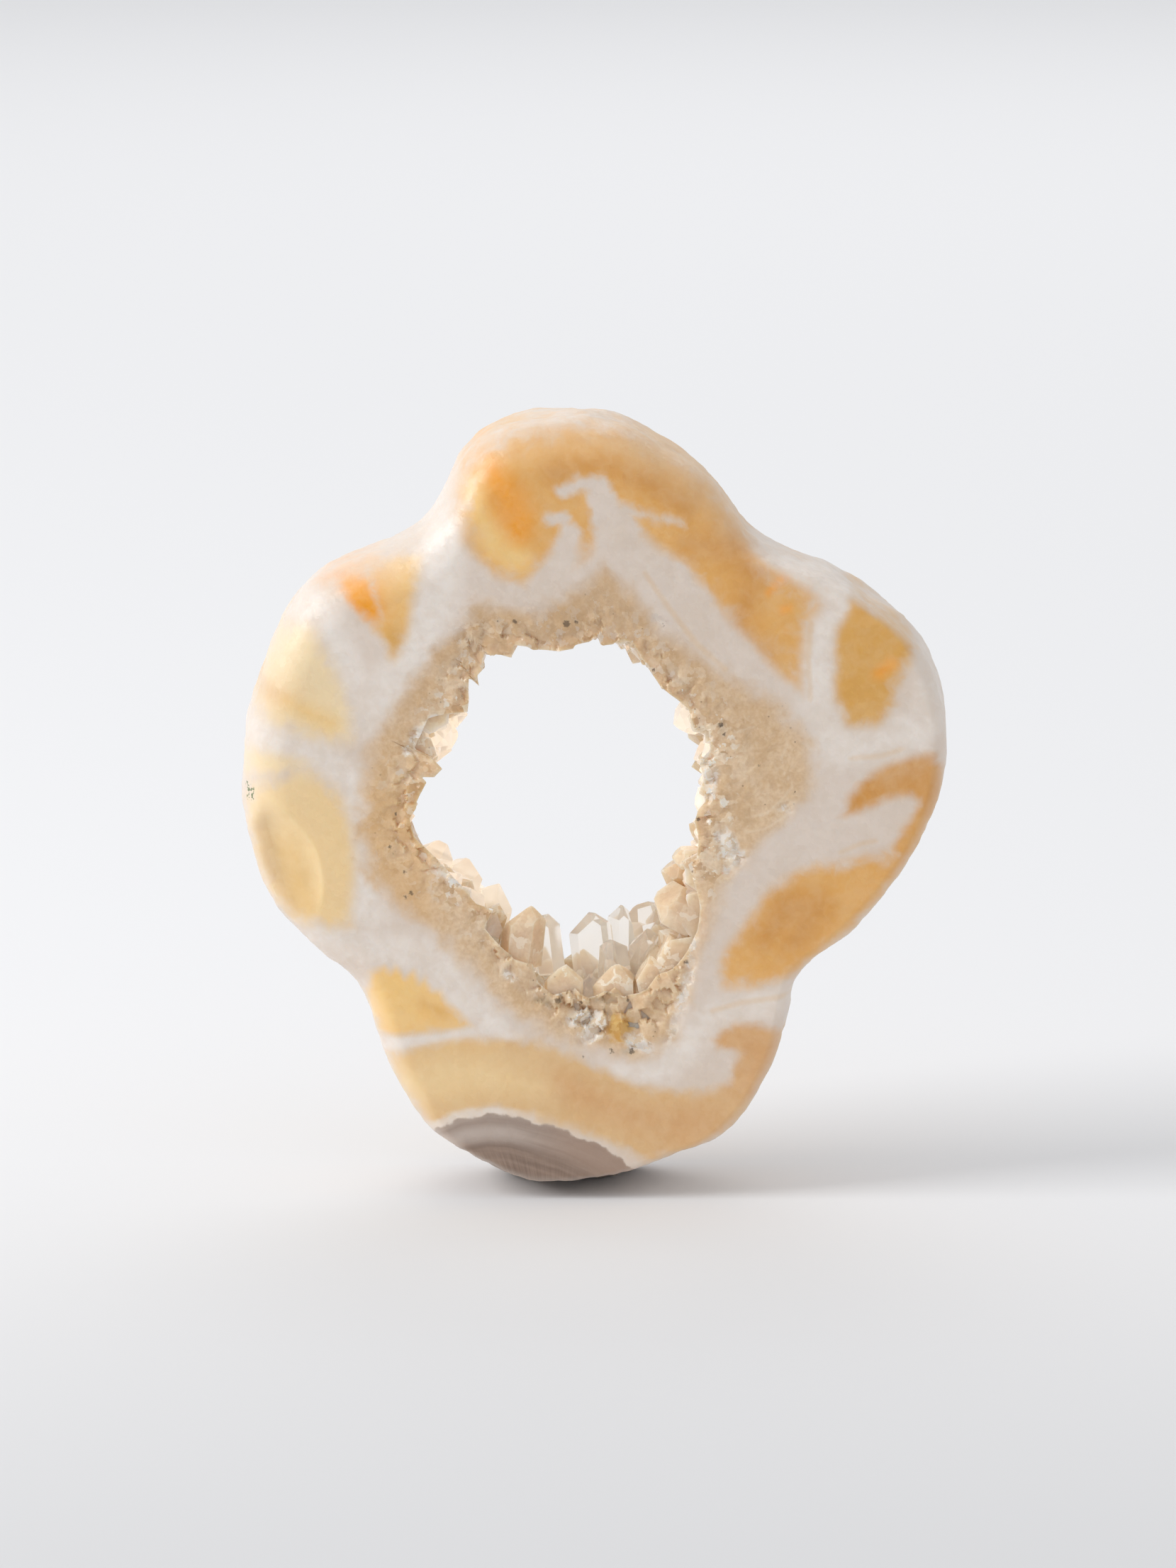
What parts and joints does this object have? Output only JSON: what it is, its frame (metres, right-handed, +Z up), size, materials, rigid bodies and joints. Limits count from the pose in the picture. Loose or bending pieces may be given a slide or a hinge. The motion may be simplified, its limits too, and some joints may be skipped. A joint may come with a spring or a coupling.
{
  "type": "druzy agate slice",
  "caption": "Standing slice of natural agate with polished faces and a hollow through it, lined with small quartz points.",
  "frame": {"origin": "on the surface that the slice stands on, below the middle of the slice", "axes": "+Z up, +X to the right in the front view, +Y from the front face towards the back face"},
  "size_m": [0.0604, 0.014, 0.0671],
  "materials": {
    "chalcedony": "polished, cloudy, milky white veins round honey and amber patches",
    "quartz": "natural crystal faces, tan and sugary at the front, clear behind"
  },
  "bodies": {
    "root": {"agate_slice": "chalcedony", "quartz_crust": "quartz"}
  },
  "joints": []
}
